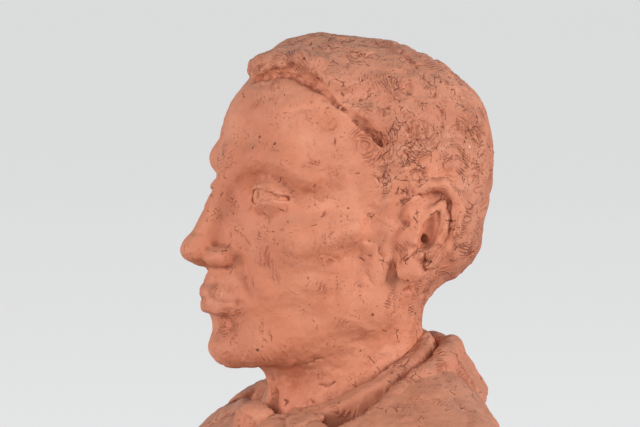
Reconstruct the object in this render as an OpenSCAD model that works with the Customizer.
// Small clay portrait bust on a studio armature.
// Millimetres. The bust faces -Y, +Z is up, and the origin is at the middle of the
// four foot pads, on the table. The base, the threaded post, the wooden shoulder bar,
// the two wire loops and the cores carry the clay, and each lump of clay that keeps
// its own edge on the surface is a piece of its own.

/* [Head] */
// Height from the chin to the crown
head_h = 52; // [46:1:56]
// Height of the eye line above the table
eye_line_z = 100; // [98:0.5:102]
// Backward tilt of the head, chin up
head_tilt = 5; // [0:1:8]
// Thickness of the clay laid on for the hair
hair_t = 1.6; // [1.2:0.1:2.2]

/* [Shoulders] */
// Width across the shoulders
shoulder_w = 86; // [78:1:90]
// Height of the trimmed lower edge of the chest
chest_cut_z = 27; // [24:1:29]
// Height of the middle of the shirt band
band_z = 74; // [73:0.5:75]
// Slope of the shirt band, from the nape down to the throat
band_slope = 27; // [20:1:30]

/* [Base] */
// Width of the base board
base_w = 100; // [94:1:120]
// Depth of the base board
base_d = 84; // [70:1:100]
// Thickness of the base board
base_t = 15; // [12:1:20]
// Corner radius of the base board
base_corner_r = 5; // [2:1:10]
// Thickness of a foot pad
pad_t = 2; // [1:0.5:3]
// Diameter of a foot pad
pad_d = 11; // [8:1:14]

/* [Armature] */
// Diameter of the threaded post
rod_d = 6; // [5:1:6]
// Diameter of the aluminium loop wire
loop_wire_d = 2; // [1.5:0.1:2]
// Diameter of the steel binding wire
bind_wire_d = 0.9; // [0.7:0.1:1]
// Number of turns of binding wire round the neck of the loops
bind_turns = 7; // [4:1:8]
// Length of the wooden shoulder bar
bar_l = 62; // [50:1:64]
// Width and height of the wooden shoulder bar
bar_side = 10; // [8:1:11]

/* [Hidden] */

clay = "#c9805f";
clay_dark = "#b26c4d";
clay_pale = "#d69a7b";
steel = "#a9adb2";
aluminium = "#c3c6ca";
oak = "#a9743f";
felt = "#3b3a38";
paper = "#b9b09c";

life_head_h = 230;              // the head's modules are drawn at life size, then scaled
life = head_h / life_head_h;
base_top = pad_t + base_t;
loop_r = loop_wire_d / 2;
rod_r = rod_d / 2;
fit = 0.2;                      // clearance of the post in wood and washers
nut_af = rod_d * 5 / 3;         // across the flats
nut_h = rod_d * 0.83;
washer_d = rod_d * 2;
washer_t = 1.2;
sink_d = washer_d + 0.5;         // recess under the board that grips the lower washer
sink_h = 8;
core_r = 11;                    // paper ball in the skull
core_z = eye_line_z + 3;
bar_z = 53;                     // middle of the shoulder bar
chest_core_r = 15;
chest_core_h = 13;
post_foot = pad_t + 0.6;
post_top = core_z - core_r;
eye_r = 13;                     // life size
eye_x = 32;
eye_y = -71;
lid_t = 3.4;
big = 400;

// ---------- curves and lofts ----------

function spline(a, b, c, d, t) =
    0.5 * (2 * b + (c - a) * t + (2 * a - 5 * b + 4 * c - d) * t * t
        + (3 * b - a - 3 * c + d) * t * t * t);

// A station is [height, middle, front, back, half width].
function station(list, u) =
    let (last = len(list) - 1, k = min(floor(u), last - 1))
    spline(list[max(k - 1, 0)], list[k], list[k + 1], list[min(k + 2, last)], u - k);

function oval(s, power, sides) = [
    for (i = [0 : sides - 1])
        let (
            c = cos(360 * i / sides),
            d = sin(360 * i / sides),
            reach = d < 0 ? s[1] - s[2] : s[3] - s[1]
        )
        [
            s[4] * sign(c) * pow(abs(c), 2 / power),
            s[1] + reach * sign(d) * pow(abs(d), 2 / power),
            s[0]
        ]
];

module loft(list, power = 2.2, sides = 40, steps = 3) {
    rings = (len(list) - 1) * steps;
    points = [for (j = [0 : rings]) each oval(station(list, j / steps), power, sides)];
    walls = [
        for (j = [0 : rings - 1], i = [0 : sides - 1])
            let (a = j * sides + i, b = j * sides + (i + 1) % sides)
            each [[a, a + sides, b + sides], [a, b + sides, b]]
    ];
    floor_face = [[for (i = [0 : sides - 1]) i]];
    roof_face = [[for (i = [sides - 1 : -1 : 0]) rings * sides + i]];
    polyhedron(concat(points), concat(walls, floor_face, roof_face), convexity = 6);
}

module ball(at, r, fn = 24) {
    translate(at) sphere(r, $fn = fn);
}

// A limb with round ends from a to b.
module limb(a, b, ra, rb, fn = 14) {
    hull() {
        ball(a, ra, fn);
        ball(b, rb, fn);
    }
}

module mirrored(side) {
    if (side < 0) mirror([1, 0, 0]) children();
    else children();
}

module in_head() {
    translate([0, 0, eye_line_z]) rotate([-head_tilt, 0, 0]) scale(life) children();
}

// ---------- base and armature ----------

module rounded_slab(w, d, h, r) {
    linear_extrude(h) hull()
        for (x = [-1, 1], y = [-1, 1])
            translate([x * (w / 2 - r), y * (d / 2 - r)]) circle(r, $fn = 40);
}

module hex_nut(z) {
    translate([0, 0, z]) difference() {
        intersection() {
            cylinder(d = nut_af / cos(30), h = nut_h, $fn = 6);
            union() {
                cylinder(d1 = nut_af, d2 = nut_af + nut_h * 1.5, h = nut_h / 2, $fn = 48);
                translate([0, 0, nut_h / 2])
                    cylinder(d1 = nut_af + nut_h * 1.5, d2 = nut_af, h = nut_h / 2, $fn = 48);
            }
        }
        translate([0, 0, -1]) cylinder(d = rod_d, h = nut_h + 2, $fn = 48);
    }
}

module washer(z) {
    translate([0, 0, z]) difference() {
        cylinder(d = washer_d, h = washer_t, $fn = 48);
        translate([0, 0, -1]) cylinder(d = rod_d + 2 * fit, h = washer_t + 2, $fn = 48);
    }
}

module base_board() color(oak) {
    bevel = 2;
    difference() {
        hull() {
            translate([0, 0, pad_t])
                rounded_slab(base_w, base_d, base_t - bevel, base_corner_r);
            translate([0, 0, base_top - 0.1])
                rounded_slab(base_w - 2 * bevel, base_d - 2 * bevel, 0.1, base_corner_r - 1);
        }
        translate([0, 0, -1]) cylinder(d = rod_d + 2 * fit, h = base_top + 2, $fn = 48);
        translate([0, 0, pad_t - 1]) cylinder(d = sink_d, h = sink_h + 1, $fn = 64);
    }
}

module foot_pads() color(felt)
    for (x = [-1, 1], y = [-1, 1])
        translate([x * (base_w / 2 - pad_d), y * (base_d / 2 - pad_d), 0])
            cylinder(d = pad_d, h = pad_t, $fn = 48);

module post_rod() color(steel)
    translate([0, 0, post_foot])
        cylinder(d = rod_d, h = post_top - post_foot, $fn = 48);

sink_top = pad_t + sink_h;
module lower_washer() color(steel) washer(sink_top - washer_t);
module lower_nut() color(steel) hex_nut(sink_top - washer_t - nut_h);
module upper_washer() color(steel) washer(base_top);
module upper_nut() color(steel) hex_nut(base_top + washer_t);

bar_low = bar_z - bar_side / 2;
bar_high = bar_z + bar_side / 2;
bar_nut_low = bar_low - washer_t - nut_h;
module bar_lower_washer() color(steel) washer(bar_low - washer_t);
module bar_lower_nut() color(steel) hex_nut(bar_nut_low);
module bar_upper_washer() color(steel) washer(bar_high);
module bar_upper_nut() color(steel) hex_nut(bar_high + washer_t);

module shoulder_bar() color(oak)
    difference() {
        translate([-bar_l / 2, -bar_side / 2, bar_low]) cube([bar_l, bar_side, bar_side]);
        translate([0, 0, bar_low - 1])
            cylinder(d = rod_d + 2 * fit, h = bar_side + 2, $fn = 48);
    }

// Crumpled paper wound on the post under the bar, as a puck with its edges cut back.
module chest_core_form() {
    edge = 3;
    translate([0, 0, bar_nut_low - chest_core_h]) rotate_extrude($fn = 36)
        polygon([
            [rod_r, 0], [chest_core_r - edge, 0], [chest_core_r, edge],
            [chest_core_r, chest_core_h - edge], [chest_core_r - edge, chest_core_h],
            [rod_r, chest_core_h]
        ]);
}
module chest_core() color(paper) chest_core_form();

// A round wire swept along points in the XZ plane.
module bent_wire(path, r, sides = 10) {
    last = len(path) - 1;
    points = [
        for (j = [0 : last])
            let (
                ahead = path[min(j + 1, last)] - path[max(j - 1, 0)],
                along = ahead / norm(ahead)
            )
            for (i = [0 : sides - 1])
                let (c = r * cos(360 * i / sides), d = r * sin(360 * i / sides))
                [path[j][0] + c * along[1], d, path[j][1] - c * along[0]]
    ];
    tube(points, last, sides);
}

// The skin of a tube from its rings of points, closed at both ends.
module tube(points, last, sides) {
    walls = [
        for (j = [0 : last - 1], i = [0 : sides - 1])
            let (a = j * sides + i, b = j * sides + (i + 1) % sides)
            each [[a, a + sides, b + sides], [a, b + sides, b]]
    ];
    first_end = [[for (i = [0 : sides - 1]) i]];
    last_end = [[for (i = [sides - 1 : -1 : 0]) last * sides + i]];
    polyhedron(points, concat(walls, first_end, last_end), convexity = 8);
}

// A loop of wire: up one side of the post, round the core, and down the other side.
module wire_loop(ring_r) {
    leg_x = rod_r + loop_r + 0.05;
    hip = ring_r * cos(45);
    knee_z = core_z - 2 * hip + leg_x;
    half = [
        [leg_x, loop_foot],
        [leg_x, knee_z - 1],
        [leg_x + 0.3, knee_z + 0.3],
        for (a = [-45 : 15 : 75]) [ring_r * cos(a), core_z + ring_r * sin(a)]
    ];
    last = len(half) - 1;
    bent_wire(concat(
        [for (p = half) [-p[0], p[1]]],
        [[0, core_z + ring_r]],
        [for (i = [last : -1 : 0]) half[i]]
    ), loop_r);
}

lengthwise_r = core_r;
crosswise_r = lengthwise_r + loop_wire_d + 0.05;
loop_foot = bar_high + washer_t + nut_h + 1;
module loop_lengthwise_form() rotate([0, 0, 90]) wire_loop(lengthwise_r);
module head_loop_lengthwise() color(aluminium) loop_lengthwise_form();
module head_loop_crosswise() color(aluminium) wire_loop(crosswise_r);

// Paper crumpled inside the loops: the lengthwise wire is bedded in it.
module head_core() color(paper) difference() {
    ball([0, 0, core_z], core_r, 64);
    loop_lengthwise_form();
}

module binding_wire() color(steel) {
    sides = 6;
    steps = 12;
    pitch = bind_wire_d + 0.15;
    mid_r = rod_r + loop_wire_d + bind_wire_d / 2 + 0.15;
    points = [
        for (j = [0 : bind_turns * steps])
            let (turn = 360 * j / steps, z = loop_foot + 4 + pitch * j / steps)
            for (i = [0 : sides - 1])
                let (c = cos(360 * i / sides), d = sin(360 * i / sides))
                [
                    (mid_r + bind_wire_d / 2 * c) * cos(turn),
                    (mid_r + bind_wire_d / 2 * c) * sin(turn),
                    z + bind_wire_d / 2 * d
                ]
    ];
    tube(points, bind_turns * steps, sides);
}

// The room that the post and all that is on it take up in the clay.
bound_top = loop_foot + 5 + bind_turns * (bind_wire_d + 0.15);
module post_room() {
    cylinder(r = rod_r, h = post_top, $fn = 36);
    chest_core_form();
    translate([0, 0, bar_nut_low])
        cylinder(d = washer_d, h = bar_low - bar_nut_low, $fn = 36);
    translate([-bar_l / 2, -bar_side / 2, bar_low]) cube([bar_l, bar_side, bar_side]);
    translate([0, 0, bar_high]) cylinder(d = washer_d, h = bound_top - bar_high, $fn = 36);
}

module head_room() {
    cylinder(r = rod_r, h = post_top, $fn = 36);
    cylinder(d = washer_d, h = bound_top, $fn = 36);
    ball([0, 0, core_z], core_r / cos(180 / 32), 32);
    head_loop_lengthwise();
    head_loop_crosswise();
}

// ---------- head, at life size, in the head's own frame ----------

skull = [
    [-116, -64, -70, -56, 8],
    [-112, -60, -82, -30, 24],
    [-100, -50, -87, 2, 38],
    [-82, -32, -88, 30, 50],
    [-60, -22, -90, 54, 58],
    [-36, -12, -88, 74, 64],
    [-10, -2, -86, 90, 70],
    [20, 6, -92, 98, 75],
    [50, 10, -91, 97, 75],
    [78, 10, -80, 87, 66],
    [98, 10, -60, 69, 50],
    [109, 9, -36, 46, 31],
    [114, 8, -12, 24, 12]
];

module head_form() loft(skull, 2.15, 40, 2);

module hair_form() {
    grow = hair_t / life;
    thick = [
        for (s = skull)
            let (up = 1 + grow / 80)
            [s[0] * 1.01 + grow * 0.9 * max(s[0], 0) / 114, s[1], s[2] - grow, s[3] + grow, s[4] + grow * 0.9]
    ];
    loft(thick, 2.15, 40, 2);
}

// The hair in side view: forelock, temple, sideburn, over the ear, and down to the nape.
module hair_outline()
    rotate([90, 0, 90]) linear_extrude(big, center = true)
        polygon([
            [-120, 74], [-70, 68], [-52, 46], [-26, 30], [-22, -14], [-8, -16], [-4, 24],
            [20, 34], [38, 18], [44, -30], [50, -58], [130, -58], [130, 150], [-120, 150]
        ]);

// The front roll, swept up and back from the forehead.
front_roll = [[-46, -50, 74], [-30, -68, 82], [-6, -76, 86], [20, -74, 84], [42, -56, 76]];
module front_roll_form()
    for (k = [0 : len(front_roll) - 2])
        limb(front_roll[k], front_roll[k + 1], 10, 10, 14);

module hair_cap() in_head() difference() {
    union() {
        intersection() {
            hair_form();
            hair_outline();
        }
        front_roll_form();
    }
    head_form();
    for (side = [-1, 1]) mirrored(side) ear_form();
}

module hair_part(low, high) color(clay_dark) intersection() {
    hair_cap();
    in_head() translate(low) cube(high - low);
}

hair_side_x = 50;
hair_top_z = 66;
hair_back_y = 56;
module hair_top() hair_part([-big, -big, hair_top_z], [big, big, big]);
module hair_back() hair_part([-big, hair_back_y, -big], [big, big, hair_top_z]);
module hair_left() hair_part([0, -big, -big], [big, hair_back_y, hair_top_z]);
module hair_right() hair_part([-big, -big, -big], [0, hair_back_y, hair_top_z]);

module nose_form() {
    hull() {
        ball([0, -82, 10], 7, 14);
        ball([0, -106, -34], 8.5, 14);
        ball([-9, -84, -40], 8, 14);
        ball([9, -84, -40], 8, 14);
    }
    ball([0, -108, -38], 10, 16);
    limb([-10, -100, -43], [-13, -88, -42], 6, 5, 12);
    limb([10, -100, -43], [13, -88, -42], 6, 5, 12);
}

// Brow, cheekbone and jaw of the left half.
module cheek_form() limb([34, -60, -25], [57, -32, -17], 15, 9);
module face_side() {
    limb([9, -84, 18], [34, -82, 24], 9, 8);
    limb([34, -82, 24], [52, -62, 18], 8, 6);
    cheek_form();
    limb([38, -8, -72], [20, -66, -98], 15, 14);
}

module muzzle_form() {
    hull() {
        ball([-22, -64, -64], 18, 16);
        ball([0, -74, -66], 19, 16);
        ball([22, -64, -64], 18, 16);
    }
    limb([-9, -75, -101], [9, -75, -101], 12, 12);
}

module lips_form() {
    hull() {
        ball([-21, -81, -72], 3, 12);
        ball([0, -93, -67], 5.5, 12);
        ball([21, -81, -72], 3, 12);
    }
    hull() {
        ball([-17, -81, -76], 3.5, 12);
        ball([0, -91, -79], 5.5, 12);
        ball([17, -81, -76], 3.5, 12);
    }
}

module socket() {
    ball([eye_x, eye_y, 0], (eye_r + lid_t) / cos(180 / 24), 24);
    translate([eye_x, -98, 2]) scale([1.25, 0.9, 0.75]) sphere(17, $fn = 24);
}

module head_clay() color(clay) difference() {
    in_head() difference() {
        union() {
            head_form();
            nose_form();
            muzzle_form();
            lips_form();
            face_side();
            mirrored(-1) face_side();
        }
        socket();
        mirrored(-1) socket();
        for (side = [-1, 1]) mirrored(side) ball([7, -102, -49], 3.2, 12);
    }
    head_room();
}

module eyeball(side) color(clay) in_head() mirrored(side) ball([eye_x, eye_y, 0], eye_r, 32);
module eyeball_left() eyeball(1);
module eyeball_right() eyeball(-1);

// A lid is half of the shell between the eyeball and its socket, cut on a slant.
module lid(side, up) color(clay_pale) in_head() mirrored(side) difference() {
    ball([eye_x, eye_y, 0], eye_r + lid_t, 32);
    ball([eye_x, eye_y, 0], eye_r, 32);
    translate([eye_x, eye_y, 0]) rotate([up ? -16 : 12, 0, 0])
        translate([-50, -50, up ? -100 : 0]) cube(100);
}
module upper_lid_left() lid(1, true);
module upper_lid_right() lid(-1, true);
module lower_lid_left() difference() {
    lid(1, false);
    upper_lid_left();
}
module lower_lid_right() difference() {
    lid(-1, false);
    upper_lid_right();
}

// Rim of the ear, from its root in front, over the top and down the back to the lobe.
rim = [[0, -10, 2], [5, -12, 18], [8, -2, 29], [10, 11, 25], [10, 16, 9], [7, 10, -9], [4, 0, -24]];
module ear_form()
    translate([72, 10, -8]) rotate([-12, 0, 0]) rotate([0, 0, 14]) {
        for (k = [0 : len(rim) - 2]) limb(rim[k], rim[k + 1], 4, 4, 12);
        hull() for (k = [0 : len(rim) - 1]) ball(rim[k] + [-4, 0, 0], 3, 12);
        limb([5, 7, 18], [4, 1, -12], 3, 3.5, 12);
        ball([3, -9, -8], 4, 12);
        ball([3, -1, -26], 6, 16);
    }

module ear(side) color(clay_pale) in_head() mirrored(side) difference() {
    ear_form();
    head_form();
    cheek_form();
}
module ear_left() ear(1);
module ear_right() ear(-1);

// ---------- neck and shoulders ----------

neck = [
    [46, 1, -10, 13, 12],
    [62, 1, -11.5, 13.5, 13],
    [74, 1, -11.5, 12.5, 12.2],
    [84, 0.5, -11, 12, 11.8],
    [92, 0, -10, 12, 11.5],
    [98, 0, -9, 11, 11]
];

torso = [
    [chest_cut_z, 0, -12, 13, 19],
    [chest_cut_z + 4, 0, -17, 17.5, 27],
    [chest_cut_z + 11, -0.5, -21, 21, shoulder_w / 2 - 5],
    [chest_cut_z + 20, 0, -22.5, 22.5, shoulder_w / 2 + 1],
    [chest_cut_z + 28, 0.5, -22.5, 23, shoulder_w / 2 + 2.5],
    [60, 0.8, -21, 23, shoulder_w / 2 - 2],
    [65, 1, -18.5, 22, 31],
    [70, 2, -15.5, 21, 23],
    [74, 2.5, -13, 20, 18],
    [78, 3, -10, 18.5, 15],
    [80, 4, -7, 17, 12]
];

module neck_form() loft(neck, 2, 36, 2);

// The shoulders are sliced off flat where the arms would start.
torso_power = 2.5;
module torso_form() intersection() {
    loft(torso, torso_power, 48, 2);
    rotate([90, 0, 0]) linear_extrude(big, center = true)
        polygon([
            for (side = [1, -1])
                for (p = side > 0
                    ? [[18, chest_cut_z], [shoulder_w / 2 - 2, chest_cut_z + 20], [shoulder_w / 2, 90]]
                    : [[shoulder_w / 2, 90], [shoulder_w / 2 - 2, chest_cut_z + 20], [18, chest_cut_z]])
                    [side * p[0], p[1]]
        ]);
}

function torso_at(z, column) = lookup(z, [for (s = torso) [s[0], s[column]]]);

// The point of the chest at a width and height, proud of it by some clay.
function on_chest(x, z, proud = 0) =
    let (
        mid = torso_at(z, 1),
        part = pow(1 - pow(abs(x) / torso_at(z, 4), torso_power), 1 / torso_power)
    )
    [x, mid + (torso_at(z, 2) - mid) * part - proud, z];

module band_form()
    translate([0, 1, band_z]) rotate([band_slope, 0, 0]) translate([0, 0, -4])
        cylinder(r1 = 15.4, r2 = 13.9, h = 8, $fn = 64);

neck_floor = bar_high + washer_t;
module neck_plug() intersection() {
    neck_form();
    translate([-big / 2, -big / 2, neck_floor]) cube(big);
}

module neck_clay() color(clay) difference() {
    neck_plug();
    in_head() head_form();
    head_room();
}

module shirt_band() color(clay_pale) difference() {
    band_form();
    neck_form();
    in_head() head_form();
}

module torso_clay() color(clay_dark) difference() {
    torso_form();
    neck_plug();
    band_form();
    collar_form();
    for (side = [-1, 1]) mirrored(side) {
        wing_form();
        lapel_form();
    }
    front_form();
    knot_form();
    blade_form();
    post_room();
}

module wing_form() hull() {
    ball([2, -14.8, 69], 1.4, 14);
    ball([9.5, -13.6, 71], 1.4, 14);
    ball(on_chest(9, 63, 0.6), 1.2, 14);
}

module wing(side) color(clay_pale) difference() {
    mirrored(side) wing_form();
    band_form();
    knot_form();
}
module shirt_wing_left() wing(1);
module shirt_wing_right() wing(-1);

module knot_form() hull() {
    ball([-1.6, -16.6, 67.6], 2, 14);
    ball([1.6, -16.6, 67.6], 2, 14);
    ball(on_chest(0, 61.5, 0), 1.6, 14);
}

module tie_knot() color(clay) difference() {
    knot_form();
    band_form();
}

module blade_form() hull() {
    ball(on_chest(0, 61, -0.2), 1.6, 14);
    ball(on_chest(-3, 46, 0), 1.6, 14);
    ball(on_chest(3, 46, 0), 1.6, 14);
    ball(on_chest(0, 41, 0), 1.4, 14);
}

module tie_blade() color(clay) difference() {
    blade_form();
    knot_form();
}

// The shirt between the lapels, thin and a little proud of the chest.
module front_form() hull()
    for (p = [[-15, 65], [0, 66], [15, 65], [-7, 55], [7, 55], [0, 51], [0, 42]])
        ball(on_chest(p[0], p[1], -0.6), 1.2, 12);

module shirt_front() color(clay_pale) difference() {
    front_form();
    band_form();
    blade_form();
    knot_form();
    for (side = [-1, 1]) mirrored(side) {
        wing_form();
        lapel_form();
    }
    neck_plug();
}

// The jacket collar: a sloping ring round the back of the neck, open at the throat.
module collar_form() intersection() {
    difference() {
        translate([0, 1.5, band_z - 3]) rotate([band_slope, 0, 0]) translate([0, 0, -3])
            cylinder(r1 = 21.5, r2 = 17.6, h = 7.4, $fn = 64);
        translate([0, 1.5, band_z - 3]) rotate([band_slope, 0, 0]) translate([0, 0, -4])
            cylinder(r = 16.4, h = 10, $fn = 64);
    }
    translate([-big / 2, -6, 0]) cube(big);
}

module jacket_collar() color(clay_dark) difference() {
    collar_form();
    band_form();
    neck_form();
}

// A lapel: the fold over the collarbone, and the long turned-back edge below its notch.
module lapel_form() {
    hull() {
        ball([15.5, -7, 71], 1.7, 14);
        ball([20, -6, 69], 1.7, 14);
        ball(on_chest(24, 62, 0.8), 1.7, 14);
        ball(on_chest(14.5, 61, 0.9), 1.5, 14);
    }
    hull() {
        ball(on_chest(16, 60, 0.5), 1.4, 14);
        ball(on_chest(20.5, 57.5, 0.8), 1.6, 14);
        ball(on_chest(11, 49, 0.9), 1.4, 14);
        ball(on_chest(7.5, 53, 0.9), 1.4, 14);
        ball(on_chest(1.8, 40, 0.5), 1.3, 14);
    }
}

module lapel(side) color(clay_dark) difference() {
    mirrored(side) lapel_form();
    band_form();
    mirrored(side) wing_form();
    collar_form();
    blade_form();
    if (side < 0) lapel_form();
    neck_form();
}
module lapel_left() lapel(1);
module lapel_right() lapel(-1);

base_board();
foot_pads();
post_rod();
lower_washer();
lower_nut();
upper_washer();
upper_nut();
chest_core();
bar_lower_nut();
bar_lower_washer();
shoulder_bar();
bar_upper_washer();
bar_upper_nut();
head_loop_lengthwise();
head_loop_crosswise();
binding_wire();
head_core();
torso_clay();
neck_clay();
head_clay();
eyeball_left();
eyeball_right();
upper_lid_left();
upper_lid_right();
lower_lid_left();
lower_lid_right();
ear_left();
ear_right();
hair_top();
hair_back();
hair_left();
hair_right();
shirt_band();
shirt_wing_left();
shirt_wing_right();
shirt_front();
tie_knot();
tie_blade();
jacket_collar();
lapel_left();
lapel_right();
